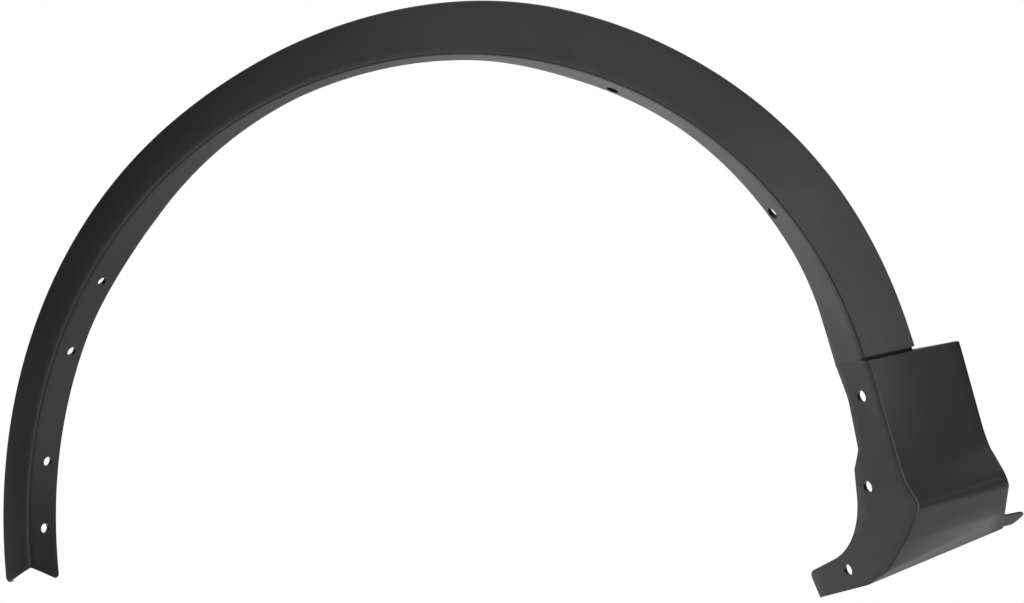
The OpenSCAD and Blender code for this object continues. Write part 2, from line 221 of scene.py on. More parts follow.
class BackSizes(bpy.types.PropertyGroup):
    """Sizes of the holes and of what stands on the back."""

    front_hole_d: length("Front holes", "Bore of the four holes in the front leg", 10)
    rear_hole_d: length("Rear holes", "Bore of the other five holes", 12.5)
    front_hole_in: length("Front holes in", "Distance from the crease to the front holes", 20)
    rear_hole_in: length("Rear holes in", "Distance from the crease to the rear holes", 29.5)
    collar_h: length("Collar height", "Height of the collar behind each screw hole", 1.8)
    collar_w: length("Collar wall", "Width of the wall of a collar", 2.6)
    tower_l: length("Tower length", "Length of a clip tower along the face", 20)
    tower_w: length("Tower width", "Width of a clip tower across the face", 13)
    tower_h: length("Tower height", "Height of a clip tower behind the face", 5.6)
    tower_t: length("Tower wall", "Wall of a clip tower", 1.7)
    slot_w: length("Slot width", "Width of the slot that takes a clip's neck", 3.4)
    head_h: length("Head height", "Room for a clip's head", 3.6)
    rib_t: length("Rib thickness", "Thickness of the gussets and webs", 1.8)
    gusset: length("Gusset leg", "Leg of the corner gussets", 13)
    pin_d: length("Pin diameter", "Diameter of the locating pins", 5)
    pin_l: length("Pin length", "Length of the locating pins", 12)
    tab_t: length("Tab thickness", "Thickness of the joining tab", 2.4)
    lap: length("Lap", "How far a rib or tower starts inside the wall", 1.2)


def shade(label, about, code):
    colour = linear(code)[:3]
    return FloatVectorProperty(name=label, description=about, default=colour, subtype="COLOR", size=3)


class FinishLook(bpy.types.PropertyGroup):
    """Colours and grain of the plastic."""

    plastic: shade("Plastic", "Body colour of the black plastic", "#1d1d1e")
    # The pale colour mixed in for the painted highlights and painted light.
    rubbed: shade("Painted light colour", "Colour of the painted highlights and painted light", "#6c6c6b")
    grain: length("Grain", "Distance between the bumps of the grain", 1.5)
    depth: length("Grain depth", "Height of the bumps of the grain", 0.05)
    rough: FloatProperty(
        name="Roughness", description="Roughness of the grained side", default=0.40, min=0, max=1
    )


class StageLook(bpy.types.PropertyGroup):
    """The pale floor, the light and the camera."""

    floor_z: length("Floor height", "Height of the floor", -1150)
    floor_r: length("Floor radius", "Radius of the floor", 9000)
    floor: shade("Floor colour", "Colour of the floor", "#f3f3f1")
    white: FloatProperty(name="White", description="Brightness of the pale surround", default=1.0, min=0)
    camera: FloatVectorProperty(
        name="Camera",
        description="Place of the camera",
        default=(-0.09818, -1.54956, -0.20656),
        subtype="XYZ",
        unit="LENGTH",
    )
    lens: FloatProperty(name="Lens", description="Focal length on a 36 mm sensor, in mm", default=56.25)


# Directions, in degrees round the wheel, between which the face, the flange and its lean change.
FACE_FALL, SWELL_AT, SWELL_RUN = (78, 126), 42, 24
KNEE_RISE, KNEE_FALL = (113, 138), (142, 156)
MID_RISE, REAR_RISE, LEAN_RISE = (89.5, 71.5), (34, 21.5), (60, 20)
# Degrees in which the arch turns into the panel, then mm for the end's drop and the rear edge's bow.
TURN_RUN, DROP_RUN, BOW_RUN = 9, 45, 38
# Degrees between the solid's rings, then mm: a hair's gap, inside radius, the panel's top radius and rim.
STEP, HAIR, INNER_R, TOP_R, TOP_RIM = 2.6, 0.2, 0.8, 2.4, 1.5
# Rings that round the top of the panel and the front end.
TOP_RINGS, END_RINGS = 7, 9

# Points of a ring along its outside: the flange's edge, the flange, the crease, the face, the outer edge.
EDGE_POINTS, FLANGE_STEPS, CREASE_POINTS, FACE_STEPS, OUTER_POINTS = 3, 6, 8, 9, 7
ON_CREASE = EDGE_POINTS + FLANGE_STEPS - 1
ON_FACE = ON_CREASE + CREASE_POINTS
ON_OUTER = ON_FACE + FACE_STEPS - 1
FLANGE, CREASE, FACE = slice(0, ON_CREASE), slice(ON_CREASE, ON_FACE), slice(ON_FACE, ON_OUTER)
# The face with half of the crease and most of the outer edge, on the arch and in the groove.
FACE_SIDE, GROOVE_SIDE = slice(ON_FACE - 4, ON_OUTER + 5), slice(ON_FACE - 3, ON_OUTER + 5)

# Painted light, a paler tone where more light falls: by direction round the wheel, across the panel, on
# the
#  plate, the mm in which it fades down the panel, and under the nose, from so many mm below it and over
#  so many.
FACE_PAINTED_LIGHT = ((20, 0.42), (38, 0.42), (54, 0.12), (94, 0.1), (104, 0))
FLANGE_PAINTED_LIGHT = ((20, 0.25), (45, 0.38), (62, 0.65), (88, 0.6), (102, 0.05), (118, 0))
PANEL_PAINTED_LIGHT = ((0, 0.33), (0.35, 0.1), (1, 0.05))
PLATE_PAINTED_LIGHT, PAINTED_LIGHT_FALL = 0.25, 130
UNDER_PAINTED_LIGHT, UNDER_FROM, UNDER_RUN = 0.6, 15, 40
# Middle and reach, across the crease, of the panel's painted corner highlight and of the arch's painted
#  highlight line and painted shade line.
CREASE_LIGHT_AND_SHADE = ((0.55, 0.3), (0.85, 0.28), (0.2, 0.4))
# Strength of the painted highlight on the corner at the panel's top, the mm in which it fades under the
#  nose, and the strengths of both painted lines.
TOP_HIGHLIGHT, NOSE_FADE, LINE_HIGHLIGHT, LINE_SHADE = 0.45, 12, 0.45, 0.8

# Screw holes: directions of those in the legs, and places of those in the plate, in and up.
FRONT_HOLES, REAR_HOLES = (148, 158, 172.75, 181.4), (68, 40)
PLATE_HOLES = ((18.5, -34.5), (40, -124.5), (100.5, -211))
# Directions of what stands behind the face, then the webs behind the nose.
GUSSETS, TOWERS, PINS = range(24, 181, 12), range(30, 175, 24), (42, 114, 162)
WEBS, WEB_SPAN = (26, 52, 78), (6, 15)
# Blunt tip of a gusset in mm, taper of a pin, and start of a tower's slot in walls from its middle.
GUSSET_TIP, PIN_TIP, SLOT_START = 0.4, 0.5, 2.2
# The tab in mm: its lap behind the panel, depth, lower and upper edge, and its end, back from the tip.
TAB_LAP, TAB_IN, TAB_LOW, TAB_HIGH = 8, 1.4, 0.8, 16.5
TAB_END = ((11.5, 0.8), (6, 5), (1.5, 10), (0, 12.5), (1, 14), (4, 15))
ROD_SIDES, PIN_SIDES, FLOOR_SIDES = 64, 32, 96

GRAINED, SMOOTH = "Moulded polypropylene, fine grain", "Moulded polypropylene, core side"
PLASTIC_IOR, ROUGH_SWING, WHITE = 1.49, 0.03, (1, 1, 1, 1)

# Direction, tightness and strength of each soft light of the surround.
LIGHTS = (
    ((0, -1, 0), 6.0, 1.2),
    ((0, 0, 1), 4.0, 1.35),
    ((0, 1, 0.05), 8.0, 0.7),
    ((-0.7, 0.7, 0.05), 8.0, 0.4),
    ((0.7, 0.7, 0.05), 8.0, 0.4),
    ((-1, 0, 0), 6.0, 0.06),
    ((1, 0, 0), 6.0, 0.08),
)

# Middle, reach and strength of each pool of light on the floor, in metres.
POOLS = (
    (-1.3, 1.3, 0.8, 1.1),
    (-0.5, 4.8, 1.2, 0.35),
    (1.3, 0.0, 0.8, 1.0),
    (0.0, 0.0, 0.8, 0.06),
)

IN = np.array([0.0, 1.0, 0.0])


def unit(v):
    return v / np.linalg.norm(v)


def lerp(a, b, f):
    return a + (b - a) * f


def ramp(f):
    return min(1.0, max(0.0, f))


def ease(f):
    t = ramp(f)
    return t * t * (3 - 2 * t)


def part(a, span):
    return (a - span[0]) / (span[1] - span[0])


def sin(a):
    return math.sin(math.radians(a))


def cos(a):
    return math.cos(math.radians(a))


def tan(a):
    return math.tan(math.radians(a))


def toward(a):
    return np.array([cos(a), sin(a)])


def level(pairs, x):
    """Value at x along straight lines through the pairs."""
    places, values = zip(*pairs)
    return float(np.interp(x, places, values))


def ridge(f, middle, reach):
    return np.clip(1 - abs(f - middle) / reach, 0, 1)


def spread(n):
    """n angles from 0 to 90 degrees, both ends included."""
    return [90 * i / (n - 1) for i in range(n)]


def corner(p, q, s, r, n):
    """The arc of radius r that rounds the corner q between p and s, in n steps."""
    a, b = unit(p - q), unit(s - q)
    half = math.acos(a @ b) / 2
    c = q + unit(a + b) * r / math.sin(half)
    x = unit(q - c)
    y = unit(a - (a @ x) * x)
    turns = [(math.pi / 2 - half) * (1 - 2 * i / n) for i in range(n + 1)]
    return [c + r * (math.cos(t) * x + math.sin(t) * y) for t in turns]


def rounded(path, fine):
    """A path with rounded corners, from each one's point, radius, arc steps and the steps before it."""
    points = [np.array(p, float) for p, *_ in path]
    last = len(path) - 1
    ends = [
        [points[i]] if i in (0, last) else corner(points[i - 1], points[i], points[i + 1], r, n * fine)
        for i, (_, r, n, _) in enumerate(path)
    ]
    out = [points[0]]
    for i in range(1, last + 1):
        steps = path[i][3] * fine
        out += [lerp(ends[i - 1][-1], ends[i][0], j / steps) for j in range(1, steps + 1)]
        out += ends[i][1:]
    return np.array(out)


class Arch:
    """The arch, its panel and its foot, in mm from the centre of the crown arc."""

    def __init__(self, sizes, back):
        for key, prop in sizes.bl_rna.properties.items():
            if prop.type == "FLOAT":
                value = getattr(sizes, key)
                setattr(self, key, math.degrees(value) if prop.unit == "ROTATION" else value / MM)
        self.fine, self.back = sizes.fine, back
        self.rim = (sizes.wall + back.collar_h) / MM
        self.rear_c = (self.crown_r - self.rear_r) * toward(self.rear_break)
        self.front_c = (self.crown_r - self.front_r) * toward(self.front_break)
        self.along = np.array([cos(self.panel_tilt), 0, sin(self.panel_tilt)])
        self.up = np.array([-sin(self.panel_tilt), 0, cos(self.panel_tilt)])
        self.plate_dir = cos(self.plate_turn) * IN - sin(self.plate_turn) * self.along
        self.plate_n = cos(self.plate_turn) * self.along + sin(self.plate_turn) * IN
        x, z = self.crease_xz(self.panel_at)
        self.datum = np.array([x, self.plan_y(x), z])
        h, low = self.nose_h, self.nose_h + self.under_h
        self.wheel_path = [
            ((-self.proud, 0), 0, 0, 0),
            ((-self.proud - 9, -self.upper_h - 9), 45, 3, 3),
            ((-self.nose_out, -h), self.nose_r, 5, 1),
            ((self.under_in - 62, -h - self.under_h / 2 + 5), 60, 1, 2),
            ((self.under_in - 29, 14 - low), 40, 1, 1),
            ((self.under_in, -low), 0, 0, 3),
        ]
        self.rear_path = [
            ((12, -2.2), 0, 0, 0),
            ((-2.5, 10 - self.upper_h), 50, 3, 3),
            ((-self.nose_out_rear, 8 - h), self.nose_r_rear, 5, 1),
            ((-6, -h - 27), 60, 2, 2),
            ((10, -h - 44.8), 0, 0, 4),
        ]
        neck = self.flange_rear + 8
        self.plate_path = [
            ((self.flange_rear, 0), 0, 0, 0),
            ((self.flange_rear - 7.5, -36), 60, 1, 2),
            ((self.flange_rear - 5, -87), 8, 1, 2),
            ((neck, -107), 8, 1, 1),
            ((neck + 15.5, 32 - self.foot_h), self.foot_sweep, 7, 1),
            ((self.foot_in, -self.foot_h), 7, 2, 1),
            ((self.foot_in - 8, -self.foot_h - self.foot_w), 0, 0, 1),
        ]
        self.wheel, self.rear, self.edge = (
            rounded(path, self.fine) for path in (self.wheel_path, self.rear_path, self.plate_path)
        )
        top = self.on_panel(self.panel_len, *self.rear[0]) - self.on_plate((-self.proud, 0))
        self.panel_top = unit(top)
        self.wheel_line = np.array([self.on_panel(self.wheel_u(p), *p) for p in self.wheel])
        self.rear_line = np.array([self.on_panel(self.rear_u(p), *p) for p in self.rear])

    def crease_xz(self, a):
        if a < self.rear_break:
            return self.rear_c + self.rear_r * toward(a)
        if a > self.front_break:
            return self.front_c + self.front_r * toward(a)
        return self.crown_r * toward(a)

    def turn_in(self, x):
        """Angle by which the wing is turned in at x, in degrees."""
        if x > self.rear_turn:
            return math.degrees(math.asin((x - self.rear_turn) / self.rear_plan_r))
        if x < -self.front_turn:
            return -math.degrees(math.asin((-self.front_turn - x) / self.front_plan_r))
        return 0.0

    def plan_y(self, x):
        radius = self.rear_plan_r if x > self.rear_turn else self.front_plan_r
        return radius * (1 - cos(self.turn_in(x)))

    def face_w(self, a):
        swell = (self.face_wide - self.face_rear) * ease(1 - abs(a - SWELL_AT) / SWELL_RUN)
        return lerp(self.face_rear, self.face_front, ease(part(a, FACE_FALL))) + swell

    def flange_w(self, a):
        if a > self.front_break:
            rise = lerp(self.flange_crown, self.flange_knee, ramp(part(a, KNEE_RISE)))
            return rise + (self.flange_front - self.flange_knee) * ease(part(a, KNEE_FALL))
        mid = (self.flange_mid - self.flange_crown) * ease(part(a, MID_RISE))
        return self.flange_crown + mid + (self.flange_rear - self.flange_mid) * ease(part(a, REAR_RISE))

    def draft(self, a):
        return lerp(self.draft_front, self.draft_rear, ease(part(a, LEAN_RISE)))

    def on_plate(self, p):
        return self.datum + p[0] * self.plate_dir + p[1] * self.up

    def on_panel(self, u, w, v):
        return self.datum + u * self.along + w * IN + v * self.up

    def wheel_u(self, p):
        return -p[0] * tan(self.plate_turn)

    def rear_u(self, p):
        return self.panel_len + self.rear_bow * max(0, 1 - abs(p[1] + self.nose_h) / BOW_RUN)

    def frame(self, a):
        """A point on the crease, and the ways across the face, along the crease, into the face, down the
        flange and into the flange."""
        x, z = self.crease_xz(a)
        s = tan(self.turn_in(x))
        t = unit(np.array([-sin(a), -s * sin(a), cos(a)]))
        w = ease((self.panel_at + TURN_RUN - a) / TURN_RUN)
        e = unit(lerp(unit(np.array([cos(a), s * cos(a), sin(a)])), self.panel_top, w))
        b = unit(np.cross(t, e))
        g = unit(lerp(cos(self.draft(a)) * b - sin(self.draft(a)) * e, self.plate_dir, w))
        return np.array([x, self.plan_y(x), z]), e, t, b, g, unit(np.cross(g, t))

    def section(self, c, o, i, bc, bo, n, tf, lip, bow):
        """One ring: the outside from the flange's edge to the face's lip, then the inside alike."""
        a, p = unit(o - c), unit(i - c)
        dot = bc @ n
        k = c + ((tf - dot * self.wall) * bc + (self.wall - dot * tf) * n) / (1 - dot * dot)
        m = o - self.wall * a + tf * bo
        q, mids = self.free_r, [j / FACE_STEPS for j in range(1, FACE_STEPS)]

        def side(i, c, r, o, outer_r, end, s):
            """One side of the wall, with s 1 on the outside and -1 on the inside."""
            u, v = c + r * a, o - outer_r * a
            return (
                [i + q * ((1 - sin(f)) * s * n - (1 - cos(f)) * p) for f in spread(EDGE_POINTS)]
                + [lerp(i - q * p, c + r * p, j / FLANGE_STEPS) for j in range(1, FLANGE_STEPS)]
                + [c + r * ((1 - sin(f)) * p + (1 - cos(f)) * a) for f in spread(CREASE_POINTS)]
                + [lerp(u, v, f) - 4 * f * (1 - f) * bow * lerp(bc, bo, f) for f in mids]
                + [o - outer_r * ((1 - sin(f)) * a - (1 - cos(f)) * bo) for f in spread(OUTER_POINTS)]
                + [end - q * ((1 - sin(f)) * bo + (1 - cos(f)) * s * a) for f in spread(EDGE_POINTS)]
            )

        outside = side(i, c, self.crease_r, o, self.edge_r, o + lip * bo, 1)
        back = o - self.wall * a + lip * bo
        return outside + side(i + self.wall * n, k, INNER_R, m, INNER_R, back, -1)

    def band_ring(self, a, sink=0.0):
        at, e, t, b, g, n = self.frame(a)
        left = math.radians(self.front_end - a) * self.front_r
        drop = self.end_drop * ease(1 - left / DROP_RUN)
        short = max(0.0, self.end_r - left)
        cut = self.end_r - math.sqrt(self.end_r**2 - min(short, self.end_r) ** 2)
        c = at + sink * g
        o = c + (self.face_w(a) - cut) * e + drop * t
        i = at + (self.flange_w(a) - cut) * g + drop * t
        return self.section(c, o, i, b, b, n, self.wall, self.lip, self.face_bow)

    def panel_ring(self, k, shift=0.0, thick=None, lip=None, cut=0.0, sink=0.0):
        c = self.wheel_line[k] - shift * self.up
        o = self.rear_line[k] - shift * self.up - cut * self.along
        i = self.on_plate(self.edge[k]) - shift * self.up
        across = unit(o - c)
        j, l = max(k - 1, 0), min(k + 1, len(self.wheel) - 1)
        bc = unit(np.cross(across, self.wheel_line[l] - self.wheel_line[j]))
        bo = unit(np.cross(across, self.rear_line[l] - self.rear_line[j]))
        thick, lip = thick or self.wall, lip or self.panel_lip
        c = c + sink / (self.plate_dir @ bc) * self.plate_dir
        return self.section(c, o + sink * bo, i, bc, bo, self.plate_n, thick - sink, lip - sink, 0)

    def rings(self):
        """Every ring, from the panel's lower edge over the groove and round the arch to its front end."""
        thick, wall_t, r = self.top_wall - TOP_RIM, self.top_wall_t, self.brow_r
        groove, hair = (math.degrees(gap / self.rear_r) for gap in (self.groove_w, HAIR))
        end = math.degrees(self.end_r / self.front_r)
        first, last = self.panel_at + groove, self.front_end - end
        steps = math.ceil((last - first) / STEP) * self.fine
        low = [k for k in range(len(self.wheel) - 1, 0, -1) if -self.wheel[k][1] > wall_t + 2 * HAIR]
        out = [self.panel_ring(k) for k in low]
        out += [self.panel_ring(0, wall_t + HAIR), self.panel_ring(0, wall_t, thick, self.top_wall)]
        for f in spread(TOP_RINGS)[1:]:
            down = max(TOP_R * (1 - sin(f)), r * (1 - sin(f)))
            sink = r * (1 - cos(f)) if f > 45 else 0
            out.append(self.panel_ring(0, down, thick, self.top_wall, TOP_R * (1 - cos(f)), sink))
        self.fall = [-self.wheel[k][1] for k in low] + [0.0] * (len(out) - len(low))
        out += [self.band_ring(a, self.groove_d) for a in (self.panel_at + hair, first - hair)]
        self.turns = [lerp(first, last, i / steps) for i in range(steps + 1)]
        out += [self.band_ring(a) for a in self.turns]
        out += [self.band_ring(self.front_end - end * (1 - sin(f))) for f in spread(END_RINGS)[1:]]
        self.ring_shape = (len(out), len(out[0]))
        return out

    def painted_light_and_shade(self):
        """How much painted light and painted shade each point of a ring gets, from 0 to 1. The panel's
        corner gets a painted highlight. Along the arch the face gets a painted highlight line beside the
        corner, and the corner a painted shade line. The groove over the panel is filled with painted
        shade. The paler painted light on the rear leg, flange, panel, plate and underside is a guess,
        matched by grey."""
        rubbed, shaded = np.zeros(self.ring_shape), np.zeros(self.ring_shape)
        f = np.arange(CREASE_POINTS) / (CREASE_POINTS - 1)
        panel, line, dark = (ridge(f, *place) for place in CREASE_LIGHT_AND_SHADE)
        count, n = len(self.fall), FACE_STEPS - 1
        for k, fall in enumerate(self.fall):
            # Painted light on the plate and panel, fading down the panel and rising towards the
            # underside's lower edge.
            left = 1 - ease(fall / PAINTED_LIGHT_FALL)
            low = UNDER_PAINTED_LIGHT * ease((fall - self.nose_h - UNDER_FROM) / UNDER_RUN)
            rubbed[k, FLANGE] = PLATE_PAINTED_LIGHT * left
            rubbed[k, FACE] = [left * level(PANEL_PAINTED_LIGHT, j / n) + low * j / (n - 1) for j in range(n)]
            # Painted highlight on the panel's corner, fading out under the nose.
            edge = panel * lerp(TOP_HIGHLIGHT, 1.0, ramp(fall / self.nose_h))
            edge *= ramp((self.nose_h + NOSE_FADE - fall) / NOSE_FADE)
            rubbed[k, CREASE] = np.maximum(edge, (f > 0.6) * rubbed[k, ON_FACE])
        groove, arch = slice(count, count + 2), slice(count + 2, None)
        # Painted light on the flange and face round the arch.
        for k, a in enumerate(self.turns, arch.start):
            rubbed[k, FLANGE] = level(FLANGE_PAINTED_LIGHT, a)
            rubbed[k, FACE_SIDE] = level(FACE_PAINTED_LIGHT, a)
        # The same painted light on the flange across the groove.
        rubbed[groove, FLANGE] = PLATE_PAINTED_LIGHT
        # Painted highlight line along the arch's crease.
        rubbed[arch, CREASE] = np.maximum(rubbed[arch, CREASE], LINE_HIGHLIGHT * line)
        # Painted shade line along the arch's crease.
        shaded[arch, CREASE] = LINE_SHADE * dark
        # Painted shade filling the groove over the panel.
        shaded[count - 1 : groove.stop, GROOVE_SIDE] = 1.0
        return {"rubbed": rubbed.ravel(), "shaded": shaded.ravel()}

    def in_flange(self, a, depth):
        """Middle of a hole at direction a, half way through the flange and its collar."""
        at, _, _, _, g, n = self.frame(a)
        return at + depth * g + self.rim / 2 * n

    def in_plate(self, p):
        return self.on_plate(p) + self.rim / 2 * self.plate_n

    def holes(self):
        """Middle, axis and bore of each screw hole."""
        sizes = self.back
        deep, wide = sizes.front_hole_in / MM, sizes.rear_hole_in / MM
        spots = [(self.in_flange(a, deep), self.frame(a)[5], sizes.front_hole_d) for a in FRONT_HOLES]
        spots += [(self.in_flange(a, wide), self.frame(a)[5], sizes.rear_hole_d) for a in REAR_HOLES]
        return spots + [(self.in_plate(p), self.plate_n, sizes.rear_hole_d) for p in PLATE_HOLES]

    def home(self, points):
        """Points in metres from the middle of the crown screw hole."""
        return (np.array(points) - self.in_flange(REAR_HOLES[0], self.back.rear_hole_in / MM)) * MM


def started(holder, place):
    """The node tree of a new material or world, cleared, and the coordinates that it reads."""
    holder.use_nodes = True
    holder.node_tree.nodes.clear()
    return holder.node_tree, add(holder.node_tree, "ShaderNodeTexCoord")[place]


def tone_and_rough(tree, pattern, seen, tones, roughs):
    """A pattern's tone on the colour and its roughness, over the span of its values that is seen."""
    span = {"Value": pattern, "From Min": seen[0], "From Max": seen[1]}
    return [
        add(tree, "ShaderNodeMapRange", {**span, "To Min": low, "To Max": high})["Result"]
        for low, high in (tones, roughs)
    ]


def close_plastic(tree, base, tone, rough, bumps):
    """Ends the tree of a plastic: its colour with the tone on it, its bumps and its sheen."""
    colour = add(tree, "ShaderNodeVectorMath", {0: base, "Scale": tone}, operation="SCALE")[0]
    normal = add(tree, "ShaderNodeBump", bumps)["Normal"]
    surface = {"Base Color": colour, "Roughness": rough, "IOR": PLASTIC_IOR, "Normal": normal}
    shader = add(tree, "ShaderNodeBsdfPrincipled", surface)
    add(tree, "ShaderNodeOutputMaterial", {"Surface": shader[0]})


def grained_plastic(look):
    """Black polypropylene moulded against an etched steel: fine pebbled grain, low sheen, no clear coat.
    The grain breaks up reflections. The creases carry painted highlights and a painted shade line, the
    groove over the panel painted shade, and broad areas a paler painted light."""
    material = bpy.data.materials.new(GRAINED)
    tree, place = started(material, "Object")
    # The real grain is about 0.6 mm. It is drawn at 1.5 mm, the finest that shows at this distance.
    pitch = 1 / look.grain
    warp = add(tree, "ShaderNodeTexNoise", {"Vector": place, "Scale": pitch * 0.5, "Detail": 2.0})
    pebble = add(
        tree,
        "ShaderNodeTexVoronoi",
        {"Vector": place, "Scale": pitch, "Smoothness": 0.6, "Randomness": 1.0},
        feature="SMOOTH_F1",
    )
    height = add(
        tree,
        "ShaderNodeMath",
        {0: warp["Fac"], 1: 0.6, 2: pebble["Distance"]},
        operation="MULTIPLY_ADD",
    )
    # Slow flow of the melt, some 140 mm long, and a finer cloud of some 18 mm.
    flow, cloud = (
        add(tree, "ShaderNodeTexNoise", {"Vector": place, **size})["Fac"]
        for size in (
            {"Scale": 7.0, "Detail": 3.0, "Roughness": 0.5},
            {"Scale": 55.0, "Detail": 4.0, "Roughness": 0.6},
        )
    )
    mixed = add(tree, "ShaderNodeMath", {0: cloud, 1: 0.5, 2: flow}, operation="MULTIPLY_ADD")[0]
    roughs = (look.rough + ROUGH_SWING, look.rough - ROUGH_SWING)
    tone, rough = tone_and_rough(tree, mixed, (0.5, 1.0), (0.9, 1.12), roughs)
    # Painted light and painted shade, stored on the mesh's points.
    painted_light_factor, painted_shade_factor = (
        add(tree, "ShaderNodeAttribute", attribute_name=name)["Fac"]
        for name in ("rubbed", "shaded")
    )
    # Mixes towards the pale colour where the painted highlights and painted light are.
    colours = {"Factor": painted_light_factor, 6: (*look.plastic, 1), 7: (*look.rubbed, 1)}
    base = add(tree, "ShaderNodeMix", colours, data_type="RGBA")[2]
    # Darkens the colour by the painted shade.
    keep = add(tree, "ShaderNodeMath", {0: 1.0, 1: painted_shade_factor}, operation="SUBTRACT")[0]
    dim = add(tree, "ShaderNodeMath", {0: tone, 1: keep}, operation="MULTIPLY")[0]
    bumps = {"Strength": 0.55, "Distance": look.depth, "Height": height[0]}
    close_plastic(tree, base, dim, rough, bumps)
    return material


def smooth_plastic(look):
    """The back of the moulding, off a plain ground core: smoother, with a soft shine and flow marks."""
    material = bpy.data.materials.new(SMOOTH)
    tree, place = started(material, "Object")
    # Cutter marks of the core, about 2 mm apart, and flow marks of some 60 mm.
    marks, flow = (
        add(tree, "ShaderNodeTexNoise", {"Vector": place, "Detail": 3.0, **size})["Fac"]
        for size in ({"Scale": 500.0, "Roughness": 0.6}, {"Scale": 16.0, "Distortion": 0.6})
    )
    tone, rough = tone_and_rough(tree, flow, (0.3, 0.7), (0.85, 1.15), (0.42, 0.32))
    bumps = {"Strength": 0.35, "Distance": 0.02 * MM, "Height": marks}
    close_plastic(tree, tuple(look.plastic), tone, rough, bumps)
    return material


def finish(name):
    """The finish of that name, made the first time that it is asked for."""
    make = {GRAINED: grained_plastic, SMOOTH: smooth_plastic}[name]
    return bpy.data.materials.get(name) or make(bpy.context.scene.arch_finish)


def close_tree(tree, given, geometry):
    """Ends a tree: instances made real, then the material."""
    real = add(tree, "GeometryNodeRealizeInstances", {"Geometry": geometry})[0]
    coat = {"Geometry": real, "Material": given["Material"]}
    worn = add(tree, "GeometryNodeSetMaterial", coat)[0]
    add(tree, "NodeGroupOutput", {"Geometry": worn})
    return tree


def set_out(tree, given, shape, turned, size=(1, 1, 1)):
    """Ends a tree with the shape on each point, turned and sized."""
    seat = {"Points": given["Geometry"], "Instance": shape, "Rotation": turned, "Scale": size}
    return close_tree(tree, given, add(tree, "GeometryNodeInstanceOnPoints", seat)[0])


def rod_tree():
    """A round rod on each point, along its axis and as wide as its bore."""
    tree, given = new_tree("Round rods", {"Depth": "Float", "Sides": "Int"})
    rod = add(
        tree,
        "GeometryNodeMeshCylinder",
        {"Vertices": given["Sides"], "Radius": 0.5, "Depth": given["Depth"]},
    )["Mesh"]
    axis, bore = (
        add(tree, "GeometryNodeInputNamedAttribute", {"Name": name}, data_type=kind)[0]
        for name, kind in (("axis", "FLOAT_VECTOR"), ("bore", "FLOAT"))
    )
    turned = add(tree, "FunctionNodeAlignRotationToVector", {"Vector": axis}, axis="Z")[0]
    size = add(tree, "ShaderNodeCombineXYZ", {"X": bore, "Y": bore, "Z": 1.0})[0]
    return set_out(tree, given, rod, turned, size)


def seats(tree):
    """The rotation of a seat, from its named axes: out of the back of the face, and along the crease."""
    out, run = (
        add(tree, "GeometryNodeInputNamedAttribute", {"Name": name}, data_type="FLOAT_VECTOR")[0]
        for name in ("axis", "run")
    )
    sides = {"Primary Axis": out, "Secondary Axis": run}
    return add(tree, "FunctionNodeAxesToRotation", sides, primary_axis="Z", secondary_axis="X")[0]


def moved_cube(tree, size, place):
    cube = add(tree, "GeometryNodeMeshCube", {"Size": size})[0]
    return add(tree, "GeometryNodeTransform", {"Geometry": cube, "Translation": place})[0]


def tower_tree():
    """A hollow tower on each seat, open at one end, with a slot in its roof for a clip's neck."""
    blocks = ("Body", "Room", "Slot")
    tree, given = new_tree("Clip towers", {b + end: "Vector" for b in blocks for end in ("", " at")})
    body, room, slot = (moved_cube(tree, given[b], given[b + " at"]) for b in blocks)
    cut = {"Mesh 1": body, "Mesh 2": [room, slot]}
    tower = add(tree, "GeometryNodeMeshBoolean", cut, operation="DIFFERENCE")[0]
    return set_out(tree, given, tower, seats(tree))


def closed(tree, drawn, base):
    """Closes what was drawn up from a flat base with that base, turned over."""
    under = add(tree, "GeometryNodeFlipFaces", {"Mesh": base})[0]
    both = add(tree, "GeometryNodeJoinGeometry", {0: [drawn, under]})[0]
    return add(tree, "GeometryNodeMergeByDistance", {"Geometry": both, "Distance": 1e-6})[0]


def pin_tree():
    """A pin with a tapered end on each seat: a disc drawn up, then drawn up again and narrowed."""
    tree, given = new_tree("Locating pins", {"Radius": "Float", "Length": "Float", "Sides": "Int"})
    rim = {"Vertices": given["Sides"], "Radius": given["Radius"]}
    disc = add(tree, "GeometryNodeMeshCircle", rim, fill_type="NGON")[0]
    drawn, top = disc, True
    up = {"Offset": (0, 0, 1), "Individual": False}
    for reach in (given["Length"], given["Radius"]):
        pull = {"Mesh": drawn, "Selection": top, "Offset Scale": reach, **up}
        pulled = add(tree, "GeometryNodeExtrudeMesh", pull, mode="FACES")
        drawn, top = pulled["Mesh"], pulled["Top"]
    tip = {"Geometry": drawn, "Selection": top, "Scale": PIN_TIP}
    narrowed = add(tree, "GeometryNodeScaleElements", tip)[0]
    return set_out(tree, given, closed(tree, narrowed, disc), seats(tree))


def rib_tree():
    """Each flat outline thickened by the same amount to both sides, as a closed plate."""
    tree, given = new_tree("Flat ribs", {"Thickness": "Float"})
    step = add(tree, "GeometryNodeInputNormal")[0]
    for share in (given["Thickness"], -0.5):
        step = add(tree, "ShaderNodeVectorMath", {0: step, "Scale": share}, operation="SCALE")[0]
    moved = {"Geometry": given["Geometry"], "Offset": step}
    lowered = add(tree, "GeometryNodeSetPosition", moved)[0]
    pull = {"Mesh": lowered, "Offset Scale": given["Thickness"], "Individual": False}
    raised = add(tree, "GeometryNodeExtrudeMesh", pull, mode="FACES")["Mesh"]
    return close_tree(tree, given, closed(tree, raised, lowered))


def store(piece, name, values):
    """Keeps a number or a vector on each point of a mesh, under a name."""
    values = np.asarray(values, np.float32)
    kind, field = ("FLOAT_VECTOR", "vector") if values.ndim == 2 else ("FLOAT", "value")
    piece.data.attributes.new(name, kind, "POINT").data.foreach_set(field, values.ravel())


def points_mesh(name, points, **kept):
    """A mesh of bare points with named vectors or numbers, for a node tree to build on."""
    piece = new_object(name, points, [], [])
    for key, values in kept.items():
        store(piece, key, values)
    return piece


